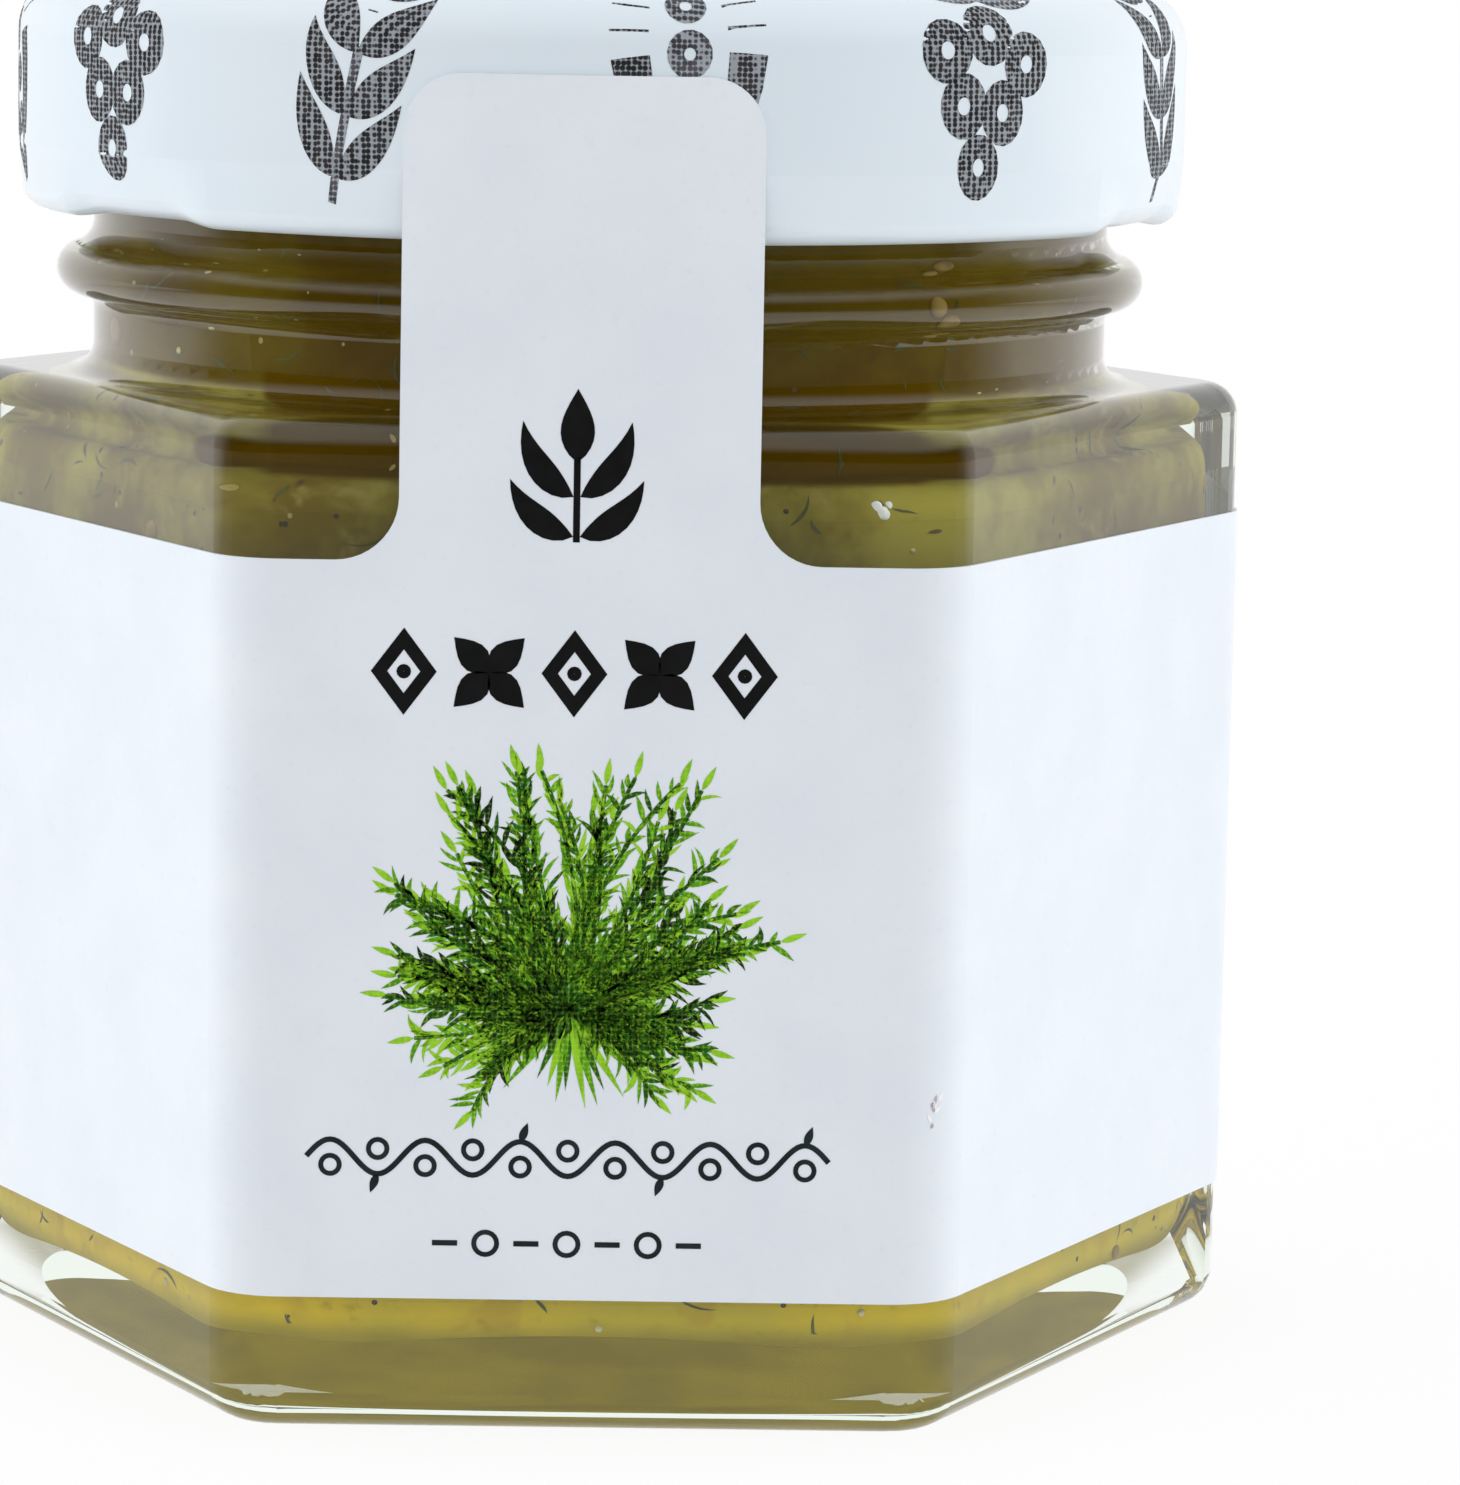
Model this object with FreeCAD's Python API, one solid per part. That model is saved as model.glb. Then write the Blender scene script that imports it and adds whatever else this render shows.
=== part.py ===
import FreeCAD, Part
import math
import os

# A small six-sided glass jar of dip, shut with a white twist-off lid and
# wrapped in a paper label whose tab seals the lid.  Sizes are millimetres.
# The origin is the middle of the base, +Z is up, and the labelled face that
# carries the tab looks towards -Y, so two corners of the hexagon lie on X.

Vector = FreeCAD.Vector
UP = Vector(0, 0, 1)
AXIS_FOOT = Vector(0, 0, 0)
SIDES = 6
SECTOR = 360.0 / SIDES

# --- glass body -------------------------------------------------------------
across_flats = 43.6          # over two opposite faces
corner_radius = 2.9          # upright edges of the hexagon
heel_radius = 1.5            # where a face turns under
shoulder_height = 36.5       # top of the flat shoulder
shoulder_radius = 1.25       # where a face turns in to the shoulder

# --- glass wall and base ------------------------------------------------------
wall = 2.5                   # thickness of a face
inner_corner_radius = 7.4    # softer than the outside, as blown glass is
base_thickness = 2.5         # at the corners, where it is thinnest
inner_heel_radius = 2.0
shoulder_thickness = 2.3
inner_shoulder_radius = 1.25
foot_ring = 5.8              # width of the ring that the jar stands on
push_up_depth = 0.9          # hollow under the base
inner_dome_rise = 3.6        # the base thickens to its middle

# --- neck and rim -------------------------------------------------------------
neck_radius = 19.45
neck_foot_radius = 1.05      # concave turn from shoulder to neck
bead_projection = 1.4        # transfer bead, the ring below the lid
bead_crest_radius = 0.95
bead_upper_root = 1.0        # radius of the concave turn above its crest
bead_lower_root = 0.55       # and below
bead_centre = 3.87           # above the shoulder
finish_height = 14.9         # from shoulder to rim
rim_wall = 2.7               # thickness of the neck and rim
bore_foot_radius = 0.8       # convex turn from inner shoulder to bore
rim_radius = 0.8

# --- thread leads -------------------------------------------------------------
leads = 3
lead_projection = 1.1
lead_root = 1.7              # thickness at the neck
lead_crest = 0.9             # thickness at its outer edge
lead_span = 104.0            # degrees round the neck
lead_rise = 1.4
lead_sink = 0.3              # how far its root is buried in the glass
lead_run_in = 19.0           # degrees of lead before the middle of a lug

# --- lid ------------------------------------------------------------------------
lid_sheet = 0.2
lid_lead_clearance = 1.55    # inside the skirt, round the leads
lid_bead_gap = 0.45          # bare glass between bead and hem
lid_edge_radius = 2.25       # top edge
lid_panel_drop = 0.7         # sunk middle of the top
lid_panel_clearance = 0.25   # between the sunk middle and the bore
lid_panel_slope = 0.7        # width of the step round the sunk middle
lid_skirt_draw = 2.5         # height over which the skirt draws in to its hem
lid_hem_radius = 0.85        # rolled lower edge
lid_hem_inset = 0.15         # the hem lies this far inside the skirt
hem_under = -100.0           # turns round the roll, from outwards: below,
hem_over = 100.0             # above
hem_tuck = 15.0              # and where the skirt's inner face meets it

# --- lugs, pressed in from the hem -----------------------------------------------
first_lug = 98.0             # its middle, turned from +X
lug_half_angle = 6.0         # its flat middle
lug_blend_angle = 7.0        # over which the hem turns into the lug
blend_steps = 4
seam_tolerance = 0.002       # where the stretches of skirt meet
lug_lift = 0.2               # the lower edge rises here
lug_inset = 0.3              # and the outer edge draws in
lug_height = 1.0
lug_side_share = 0.7         # of that height, where its outer side ends
lug_tip_share = 0.55         # and where its tip lies
lug_crown_shift = 0.25       # its top lies this far inside its middle
lug_overlap = 0.7            # how far the lug reaches in under a lead
lug_clearance = 0.12         # below the lead

# --- dip ----------------------------------------------------------------------------
head_space = 4.0             # from the rim down to the dip

# --- paper label ----------------------------------------------------------------------
paper = 0.12
label_foot = 5.05            # lower edge above the base
label_shoulder_gap = 4.95    # bare glass between its upper edge and the shoulder
label_gap = 2.0              # bare strip at the back where its ends meet
tab_width = 12.65
tab_offset = -0.5            # middle of the tab, from the middle of the face
tab_lid_margin = 3.0         # bare skirt above the tab, to the lid's top
tab_corner_radius = 2.05
tab_foot_radius = 2.25       # concave turn from the label's edge to the tab

bore_radius = neck_radius - rim_wall
rim_height = shoulder_height + finish_height
bead_middle = shoulder_height + bead_centre


def bead_flank(root):
    """From the bead's middle to the neck by one root: height, and turn in degrees."""
    span = bead_crest_radius + root
    aside = span - bead_projection
    height = math.sqrt(span ** 2 - aside ** 2)
    return height, math.degrees(math.atan2(height, aside))


bead_top = bead_middle + bead_flank(bead_upper_root)[0]
lid_radius = neck_radius + lead_projection + lid_lead_clearance + lid_sheet
lid_top = rim_height + lid_sheet
lid_foot = bead_top + lid_bead_gap
lid_skirt_foot = lid_foot + lid_skirt_draw
label_top = shoulder_height - label_shoulder_gap
tab_top = lid_top - tab_lid_margin
lug_angles = [first_lug + i * 360.0 / leads for i in range(leads)]


def at_angle(radius, degrees, height=0.0):
    """The point at a radius, an angle from +X and a height."""
    turn = math.radians(degrees)
    return Vector(radius * math.cos(turn), radius * math.sin(turn), height)


def in_section(radius, height):
    """A point of the half section that is turned about the axis."""
    return Vector(radius, 0, height)


def line(start, end):
    return Part.makeLine(start, end)


def arc(start, middle, end):
    return Part.Arc(start, middle, end).toShape()


def turned(edges, degrees=360.0, start=0.0):
    """The solid swept by a closed section about the jar's axis."""
    section = Part.Face(Part.Wire(edges))
    section.rotate(AXIS_FOOT, UP, start)
    return section.revolve(AXIS_FOOT, UP, degrees)


def polygon_edges(points):
    closed = points + [points[0]]
    return [line(a, b) for a, b in zip(closed, closed[1:])]


def hexagon_face(flats, corner, height):
    """A level hexagon with rounded corners, two of them on the X axis."""
    centre_distance = (flats / 2 - corner) / math.cos(math.radians(SECTOR / 2))
    arcs = []
    for side in range(SIDES):
        middle = side * SECTOR
        centre = at_angle(centre_distance, middle, height)
        ends = [centre + at_angle(corner, middle + turn * SECTOR / 2) for turn in (-1, 0, 1)]
        arcs.append(ends)
    edges = []
    for side, ends in enumerate(arcs):
        edges.append(arc(*ends))
        edges.append(line(ends[2], arcs[(side + 1) % SIDES][0]))
    return Part.Face(Part.Wire(edges))


def hexagon_prism(flats, corner, foot, top):
    return hexagon_face(flats, corner, foot).extrude(UP * (top - foot))


def level_edges(solid, height):
    """The edges of a solid that lie wholly at one height."""
    box_of = [(edge, edge.BoundBox) for edge in solid.Edges]
    return [edge for edge, box in box_of
            if abs(box.ZMin - height) < 1e-4 and abs(box.ZMax - height) < 1e-4]


def dome(radius, rise, foot):
    """A shallow cap of a sphere, standing on a level circle."""
    sphere_radius = (radius ** 2 + rise ** 2) / (2 * rise)
    crown = in_section(0, foot + rise)
    rim = in_section(radius, foot)
    half_angle = math.asin(radius / sphere_radius) / 2
    middle = in_section(sphere_radius * math.sin(half_angle),
                        foot + rise - sphere_radius * (1 - math.cos(half_angle)))
    return turned([arc(crown, middle, rim), line(rim, in_section(0, foot)),
                   line(in_section(0, foot), crown)])


def fillet_middle(centre_radius, centre_height, radius, degrees):
    """The middle point of a round turn in the half section."""
    turn = math.radians(degrees)
    return in_section(centre_radius + radius * math.cos(turn),
                      centre_height + radius * math.sin(turn))


def make_body():
    """The six-sided outside, rounded at heel and shoulder."""
    body = hexagon_prism(across_flats, corner_radius, 0, shoulder_height)
    body = body.makeFillet(heel_radius, level_edges(body, 0))
    return body.makeFillet(shoulder_radius, level_edges(body, shoulder_height))


def make_neck():
    """The round finish: concave foot, transfer bead, and rounded rim."""
    root = shoulder_height - shoulder_thickness / 2
    foot_reach = neck_radius + neck_foot_radius
    foot_top = shoulder_height + neck_foot_radius
    crest_centre = neck_radius + bead_projection - bead_crest_radius
    drop, lower_turn = bead_flank(bead_lower_root)
    upper_turn = bead_flank(bead_upper_root)[1]
    bead_foot = bead_middle - drop
    points = {
        "axis foot": in_section(0, root),
        "root": in_section(foot_reach, root),
        "foot": in_section(foot_reach, shoulder_height),
        "neck": in_section(neck_radius, foot_top),
        "bead foot": in_section(neck_radius, bead_foot),
        "bead under": fillet_middle(crest_centre, bead_middle, bead_crest_radius, -lower_turn),
        "bead crest": in_section(neck_radius + bead_projection, bead_middle),
        "bead over": fillet_middle(crest_centre, bead_middle, bead_crest_radius, upper_turn),
        "bead top": in_section(neck_radius, bead_top),
        "rim side": in_section(neck_radius, rim_height - rim_radius),
        "rim": in_section(neck_radius - rim_radius, rim_height),
        "axis top": in_section(0, rim_height),
    }
    foot_middle = fillet_middle(foot_reach, foot_top, neck_foot_radius, 225)
    lower_root = fillet_middle(neck_radius + bead_lower_root, bead_foot, bead_lower_root,
                               180 - lower_turn / 2)
    upper_root = fillet_middle(neck_radius + bead_upper_root, bead_top, bead_upper_root,
                               180 + upper_turn / 2)
    rim_middle = fillet_middle(neck_radius - rim_radius, rim_height - rim_radius, rim_radius, 45)
    return turned([
        line(points["axis foot"], points["root"]),
        line(points["root"], points["foot"]),
        arc(points["foot"], foot_middle, points["neck"]),
        line(points["neck"], points["bead foot"]),
        arc(points["bead foot"], lower_root, points["bead under"]),
        arc(points["bead under"], points["bead crest"], points["bead over"]),
        arc(points["bead over"], upper_root, points["bead top"]),
        line(points["bead top"], points["rim side"]),
        arc(points["rim side"], rim_middle, points["rim"]),
        line(points["rim"], points["axis top"]),
        line(points["axis top"], points["axis foot"]),
    ])


def lead_height(lug_angle, angle):
    """Height of a lead's middle at an angle, so that its lug passes below."""
    lowest = lid_foot + lug_lift + lug_height + lug_clearance + lead_root / 2
    return lowest + lead_rise * (angle - lug_angle + lead_run_in) / lead_span


def make_lead(lug_angle):
    """One sloping thread lead, swept up round the neck to the right."""
    start = lug_angle - lead_run_in
    foot = lead_height(lug_angle, start)
    path = Part.makeHelix(lead_rise * 360.0 / lead_span, lead_rise, neck_radius)
    inner = neck_radius - lead_sink
    outer = neck_radius + lead_projection
    section = Part.Wire(polygon_edges([
        in_section(inner, -lead_root / 2), in_section(neck_radius, -lead_root / 2),
        in_section(outer, -lead_crest / 2), in_section(outer, lead_crest / 2),
        in_section(neck_radius, lead_root / 2), in_section(inner, lead_root / 2)]))
    lead = path.makePipeShell([section], True, True)
    lead.rotate(AXIS_FOOT, UP, start)
    lead.translate(UP * foot)
    return lead


def make_cavity():
    """The whole inside of the jar, up through the bore."""
    flats = across_flats - 2 * wall
    top = shoulder_height - shoulder_thickness
    ledge = flats / 2 - bore_radius
    shoulder_turn = min(inner_shoulder_radius, ledge / 2)
    bore_turn = min(bore_foot_radius, ledge / 3)
    room = hexagon_prism(flats, inner_corner_radius, base_thickness, top)
    room = room.makeFillet(inner_heel_radius, level_edges(room, base_thickness))
    room = room.makeFillet(shoulder_turn, level_edges(room, top))
    corner_reach = (flats / 2 - inner_corner_radius) / math.cos(math.radians(SECTOR / 2))
    room = room.cut(dome(corner_reach + inner_corner_radius, inner_dome_rise, base_thickness))
    flare = bore_radius + bore_turn
    flare_top = top + bore_turn
    crown = rim_height - rim_radius
    mouth = bore_radius + rim_radius
    bore = turned([
        line(in_section(0, top - wall), in_section(flare, top - wall)),
        line(in_section(flare, top - wall), in_section(flare, top)),
        arc(in_section(flare, top), fillet_middle(flare, flare_top, bore_turn, 225),
            in_section(bore_radius, flare_top)),
        line(in_section(bore_radius, flare_top), in_section(bore_radius, crown)),
        arc(in_section(bore_radius, crown), fillet_middle(mouth, crown, rim_radius, 135),
            in_section(mouth, rim_height)),
        line(in_section(mouth, rim_height), in_section(0, rim_height)),
        line(in_section(0, rim_height), in_section(0, top - wall)),
    ])
    return room.fuse(bore).removeSplitter()


def make_jar(cavity):
    solid = make_body().fuse(make_neck())
    for lug_angle in lug_angles:
        solid = solid.fuse(make_lead(lug_angle))
    hollow_radius = across_flats / 2 - foot_ring
    solid = solid.cut(dome(hollow_radius, push_up_depth, 0))
    return solid.cut(cavity).removeSplitter()


def make_dip(cavity):
    """The dip fills the jar from wall to wall, up to its level."""
    reach = across_flats
    level = rim_height - head_space
    below = Part.makeBox(2 * reach, 2 * reach, level, Vector(-reach, -reach, 0))
    return cavity.common(below)


def make_lid_top():
    """The pressed top and upper skirt of the lid, one sheet thick."""
    crest = lid_top
    panel = lid_top - lid_panel_drop
    panel_radius = bore_radius - lid_panel_clearance - lid_panel_slope
    step_radius = panel_radius + lid_panel_slope
    turn_radius = lid_radius - lid_edge_radius
    turn_height = crest - lid_edge_radius
    inner_edge_radius = lid_edge_radius - lid_sheet
    slant = lid_sheet * math.tan(math.atan2(lid_panel_drop, lid_panel_slope) / 2)
    outer = [in_section(0, panel), in_section(panel_radius, panel),
             in_section(step_radius, crest), in_section(turn_radius, crest)]
    inner = [in_section(turn_radius, crest - lid_sheet),
             in_section(step_radius + slant, crest - lid_sheet),
             in_section(panel_radius + slant, panel - lid_sheet),
             in_section(0, panel - lid_sheet)]
    outer_side = in_section(lid_radius, turn_height)
    inner_side = in_section(lid_radius - lid_sheet, turn_height)
    edges = [line(a, b) for a, b in zip(outer, outer[1:])]
    edges.append(arc(outer[-1], fillet_middle(turn_radius, turn_height, lid_edge_radius, 45),
                     outer_side))
    outer_foot, inner_foot = skirt_foot_points()
    edges.append(line(outer_side, outer_foot))
    edges.append(line(outer_foot, inner_foot))
    edges.append(line(inner_foot, inner_side))
    edges.append(arc(inner_side, fillet_middle(turn_radius, turn_height, inner_edge_radius, 45),
                     inner[0]))
    edges += [line(a, b) for a, b in zip(inner, inner[1:])]
    edges.append(line(inner[-1], outer[0]))
    return turned(edges)


def hem_points():
    """The lower skirt where its edge is a plain round roll, tangent to it."""
    inset = lid_hem_inset + lid_hem_radius
    drop = lid_skirt_draw - lid_hem_radius
    skirt_lean = math.atan2(inset, drop) - math.asin(lid_hem_radius / math.hypot(inset, drop))
    turns = (-math.degrees(skirt_lean), hem_under, 180, hem_over, hem_tuck)
    height = lid_foot + lid_hem_radius
    return [fillet_middle(lid_radius - inset, height, lid_hem_radius, turn) for turn in turns]


def lug_points():
    """The same points where the edge is pressed in to a lug."""
    outside = lid_radius - lid_hem_inset - lug_inset
    foot = lid_foot + lug_lift
    top = foot + lug_height
    tip = neck_radius + lead_projection - lug_overlap
    middle = (outside + tip) / 2
    return [
        in_section(outside, foot + lug_side_share * lug_height),
        in_section(middle, foot),
        in_section(tip, foot + lug_tip_share * lug_height),
        in_section(middle - lug_crown_shift, top),
        in_section(outside - lid_sheet, top + lid_sheet),
    ]


def skirt_foot_points():
    """Where the upper skirt ends: its outer and inner point."""
    outer = in_section(lid_radius, lid_skirt_foot)
    inner = in_section(lid_radius - lid_sheet, lid_skirt_foot)
    return outer, inner


def lower_skirt(press):
    """Section of the lower skirt, from a plain hem at 0 to a lug at 1."""
    pairs = zip(hem_points(), lug_points())
    outer, below, tip, above, inner = [hem + (lug - hem) * press for hem, lug in pairs]
    outer_foot, inner_foot = skirt_foot_points()
    return [
        line(outer_foot, outer),
        arc(outer, below, tip),
        arc(tip, above, inner),
        line(inner, inner_foot),
        line(inner_foot, outer_foot),
    ]


def hem_blend(hem_angle, lug_angle):
    """The stretch of skirt over which the hem turns smoothly into a lug."""
    sections = []
    for step in range(blend_steps + 1):
        share = step / blend_steps
        press = (1 - math.cos(math.pi * share)) / 2
        section = Part.Wire(lower_skirt(press))
        section.rotate(AXIS_FOOT, UP, hem_angle + (lug_angle - hem_angle) * share)
        sections.append(section)
    return Part.makeLoft(sections, True, False)


def make_lid():
    """A pressed lid whose rolled hem is pushed in to a lug for each lead."""
    flat = lug_half_angle
    reach = lug_half_angle + lug_blend_angle
    plain = 360.0 / leads - 2 * reach
    pieces = []
    for angle in lug_angles:
        pieces.append(turned(lower_skirt(1), 2 * flat, angle - flat))
        pieces.append(hem_blend(angle - reach, angle - flat))
        pieces.append(hem_blend(angle + reach, angle + flat))
        pieces.append(turned(lower_skirt(0), plain, angle + reach))
    return make_lid_top().multiFuse(pieces, seam_tolerance).removeSplitter()


def make_wrap():
    """The paper band round the six faces, open at the back."""
    outside = hexagon_prism(across_flats + 2 * paper, corner_radius + paper,
                            label_foot, label_top)
    inside = hexagon_prism(across_flats, corner_radius, label_foot, label_top)
    gap = Part.makeBox(label_gap, across_flats, label_top - label_foot,
                       Vector(-label_gap / 2, 0, label_foot))
    return outside.cut(inside).cut(gap)


def flat_tab_section(reach, height):
    """Level section of the tab where it lies on the glass face."""
    back = -across_flats / 2
    return Part.Wire(polygon_edges([
        Vector(-reach, back, height), Vector(reach, back, height),
        Vector(reach, back - paper, height), Vector(-reach, back - paper, height)]))


def round_tab_section(reach, height):
    """Level section of the tab where it lies round the lid."""
    half = math.degrees(math.asin(reach / lid_radius))
    inner = [at_angle(lid_radius, -90 + turn, height) for turn in (-half, 0, half)]
    outer = [at_angle(lid_radius + paper, -90 + turn, height) for turn in (half, 0, -half)]
    return Part.Wire([arc(*inner), line(inner[2], outer[0]), arc(*outer),
                      line(outer[2], inner[0])])


def tab_outline():
    """Front view of the tab: round corners above, concave turns at its foot."""
    left = tab_offset - tab_width / 2
    right = tab_offset + tab_width / 2
    foot = label_top
    top = tab_top
    front = -across_flats
    root = foot - tab_foot_radius

    def corner(x, z, radius, degrees):
        turn = math.radians(degrees)
        return Vector(x + radius * math.cos(turn), front, z + radius * math.sin(turn))

    high = tab_corner_radius
    low = tab_foot_radius
    edges = [
        line(Vector(left - low, front, root), Vector(right + low, front, root)),
        line(Vector(right + low, front, root), Vector(right + low, front, foot)),
        arc(Vector(right + low, front, foot), corner(right + low, foot + low, low, 225),
            Vector(right, front, foot + low)),
        line(Vector(right, front, foot + low), Vector(right, front, top - high)),
        arc(Vector(right, front, top - high), corner(right - high, top - high, high, 45),
            Vector(right - high, front, top)),
        line(Vector(right - high, front, top), Vector(left + high, front, top)),
        arc(Vector(left + high, front, top), corner(left + high, top - high, high, 135),
            Vector(left, front, top - high)),
        line(Vector(left, front, top - high), Vector(left, front, foot + low)),
        arc(Vector(left, front, foot + low), corner(left - low, foot + low, low, 315),
            Vector(left - low, front, foot)),
        line(Vector(left - low, front, foot), Vector(left - low, front, root)),
    ]
    face = Part.Face(Part.Wire(edges))
    return face.extrude(Vector(0, across_flats, 0))


def make_tab():
    """The seal: flat on the glass, free past the neck, round on the lid."""
    reach = tab_width / 2 + tab_foot_radius + abs(tab_offset) + 1
    root = label_top - tab_foot_radius
    leave = shoulder_height
    land = lid_skirt_foot
    on_glass = Part.Face(flat_tab_section(reach, root)).extrude(UP * (leave - root))
    free = Part.makeLoft([flat_tab_section(reach, leave), round_tab_section(reach, land)],
                         True, True)
    on_lid = Part.Face(round_tab_section(reach, land)).extrude(UP * (tab_top - land))
    return on_glass.fuse(free).fuse(on_lid).common(tab_outline())


def make_label():
    return make_wrap().fuse(make_tab()).removeSplitter()


def write(name, shape):
    shape.Solids[0].exportStep(os.path.join("parts", name + ".step"))


os.makedirs("parts", exist_ok=True)
cavity = make_cavity()
write("jar", make_jar(cavity))
write("dip", make_dip(cavity))
write("lid", make_lid())
write("label", make_label())
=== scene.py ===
import math
import random

import bpy
from mathutils import Euler, Matrix, Vector
from mathutils.bvhtree import BVHTree


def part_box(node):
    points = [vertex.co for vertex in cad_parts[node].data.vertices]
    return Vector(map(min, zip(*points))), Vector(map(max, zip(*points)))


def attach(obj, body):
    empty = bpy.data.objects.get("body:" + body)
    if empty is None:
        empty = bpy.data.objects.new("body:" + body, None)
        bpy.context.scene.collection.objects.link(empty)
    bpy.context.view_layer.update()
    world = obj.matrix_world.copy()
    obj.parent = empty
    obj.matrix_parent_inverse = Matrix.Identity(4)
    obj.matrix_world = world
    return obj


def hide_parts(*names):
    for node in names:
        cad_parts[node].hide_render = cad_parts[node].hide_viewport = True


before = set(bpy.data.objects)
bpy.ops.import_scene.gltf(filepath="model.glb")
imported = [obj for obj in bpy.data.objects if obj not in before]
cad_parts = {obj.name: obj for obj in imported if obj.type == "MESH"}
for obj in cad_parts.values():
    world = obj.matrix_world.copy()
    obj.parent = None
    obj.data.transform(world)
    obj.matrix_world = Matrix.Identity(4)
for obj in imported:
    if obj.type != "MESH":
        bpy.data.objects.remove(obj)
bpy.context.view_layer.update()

MM = 0.001
label_low, label_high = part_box("label")
lid_low, lid_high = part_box("lid")
jar_low, jar_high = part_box("jar")
dip_low, dip_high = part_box("dip")

# Measures of the jar that its box does not give.
neck_rise = 14.9 * MM
shoulder_thickness = 2.3 * MM
shoulder_outside = jar_high.z - neck_rise
shoulder_inside = shoulder_outside - shoulder_thickness
face_half = 11.7 * MM


# --- shader nodes -------------------------------------------------------------

class Value:
    """A number that varies over a surface; sums with it add Math nodes."""

    def __init__(self, finish, socket):
        self.finish = finish
        self.socket = socket

    def math(self, operation, *others):
        inputs = dict(enumerate((self,) + others))
        return self.finish.value("ShaderNodeMath", {"operation": operation}, inputs)

    def __add__(self, other):
        return self.math("ADD", other)

    def __sub__(self, other):
        return self.math("SUBTRACT", other)

    def __rsub__(self, other):
        return self.finish.value("ShaderNodeMath", {"operation": "SUBTRACT"},
                                 {0: other, 1: self})

    def __mul__(self, other):
        return self.math("MULTIPLY", other)

    __radd__ = __add__
    __rmul__ = __mul__

    def __abs__(self):
        return self.math("ABSOLUTE")

    def larger(self, other):
        return self.math("MAXIMUM", other)

    def towards(self, other, share):
        """This value where share is 0, the other where it is 1."""
        return self + share * (other - self)

    def ramp(self, low, high):
        """0 at low and 1 at high, smooth between; low may be the larger."""
        if low > high:
            return 1 - self.ramp(high, low)
        inputs = {"Value": self, "From Min": low, "From Max": high}
        return self.finish.value("ShaderNodeMapRange", {"interpolation_type": "SMOOTHSTEP"},
                                 inputs, "Result")


class Finish:
    """One material, world or floor finish and the nodes that make it."""

    def __init__(self, name, owner=None):
        self.owner = owner or bpy.data.materials.new(name)
        self.owner.use_nodes = True
        self.tree = self.owner.node_tree
        self.tree.nodes.clear()

    def node(self, kind, settings=None, inputs=None):
        node = self.tree.nodes.new(kind)
        for name, setting in (settings or {}).items():
            setattr(node, name, setting)
        for name, given in (inputs or {}).items():
            socket = node.inputs[name]
            if isinstance(given, Value):
                given = given.socket
            if isinstance(given, bpy.types.NodeSocket):
                self.tree.links.new(given, socket)
            else:
                socket.default_value = given
        return node

    def value(self, kind, settings=None, inputs=None, output=0):
        return Value(self, self.node(kind, settings, inputs).outputs[output])

    def place(self):
        """Position on the piece, in metres."""
        return self.node("ShaderNodeTexCoord").outputs["Object"]

    def along(self, vector, axis):
        parts = self.node("ShaderNodeSeparateXYZ", None, {"Vector": vector})
        return Value(self, parts.outputs[axis])

    def height(self):
        return self.along(self.place(), "Z")

    def facing_up(self):
        """1 where the surface faces up, 0 upright, -1 where it faces down."""
        return self.along(self.node("ShaderNodeTexCoord").outputs["Normal"], "Z")

    def noise(self, scale, detail, roughness=0.5, distortion=0.0):
        inputs = {"Vector": self.place(), "Scale": scale, "Detail": detail,
                  "Roughness": roughness, "Distortion": distortion}
        return self.value("ShaderNodeTexNoise", None, inputs)

    def cells(self, scale, randomness):
        inputs = {"Vector": self.place(), "Scale": scale, "Randomness": randomness}
        return self.value("ShaderNodeTexVoronoi", None, inputs)

    def mix(self, share, first, second):
        settings = {"data_type": "RGBA", "clamp_factor": True}
        node = self.node("ShaderNodeMix", settings, {0: share, 6: first, 7: second})
        return node.outputs[2]

    def bump(self, height, depth):
        inputs = {"Height": height, "Distance": depth}
        return self.node("ShaderNodeBump", None, inputs).outputs["Normal"]

    def surface(self, **inputs):
        named = {key.replace("_", " "): given for key, given in inputs.items()}
        return self.node("ShaderNodeBsdfPrincipled", None, named).outputs["BSDF"]

    def open_air(self, tint=(1, 1, 1, 1)):
        """Lets light straight through."""
        return self.node("ShaderNodeBsdfTransparent", None, {"Color": tint}).outputs[0]

    def ray_is(self, *kinds):
        """1 for rays of any of these kinds."""
        path = self.node("ShaderNodeLightPath")
        found = [Value(self, path.outputs["Is " + kind + " Ray"]) for kind in kinds]
        seen = found[0]
        for other in found[1:]:
            seen = seen.larger(other)
        return seen

    def mix_shader(self, share, first, second):
        inputs = {0: share, 1: first, 2: second}
        return self.node("ShaderNodeMixShader", None, inputs).outputs[0]

    def output(self, shader):
        self.node("ShaderNodeOutputMaterial", None, {"Surface": shader})
        return self.owner


def colour(red, green, blue):
    """A colour given as on a paint chart (0 to 255), as the shaders take it."""
    def linear(level):
        share = level / 255
        if share <= 0.04045:
            return share / 12.92
        return ((share + 0.055) / 1.055) ** 2.4
    return (linear(red), linear(green), linear(blue), 1.0)


# --- finishes -----------------------------------------------------------------

screen_pitch = 5200.0


def clear_glass():
    """Clear glass that shines less towards its foot."""
    finish = Finish("clear_glass")
    shine = finish.height().ramp(label_low.z, label_high.z * 0.5)
    glass = finish.surface(Base_Color=colour(241, 250, 242), Roughness=0.0, IOR=1.5,
                           Transmission_Weight=1.0, Coat_Weight=shine * 0.5, Coat_IOR=1.6,
                           Coat_Roughness=0.02)
    open_air = finish.open_air(colour(252, 254, 252))
    return finish.output(finish.mix_shader(finish.ray_is("Shadow", "Diffuse"), glass, open_air))


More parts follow.
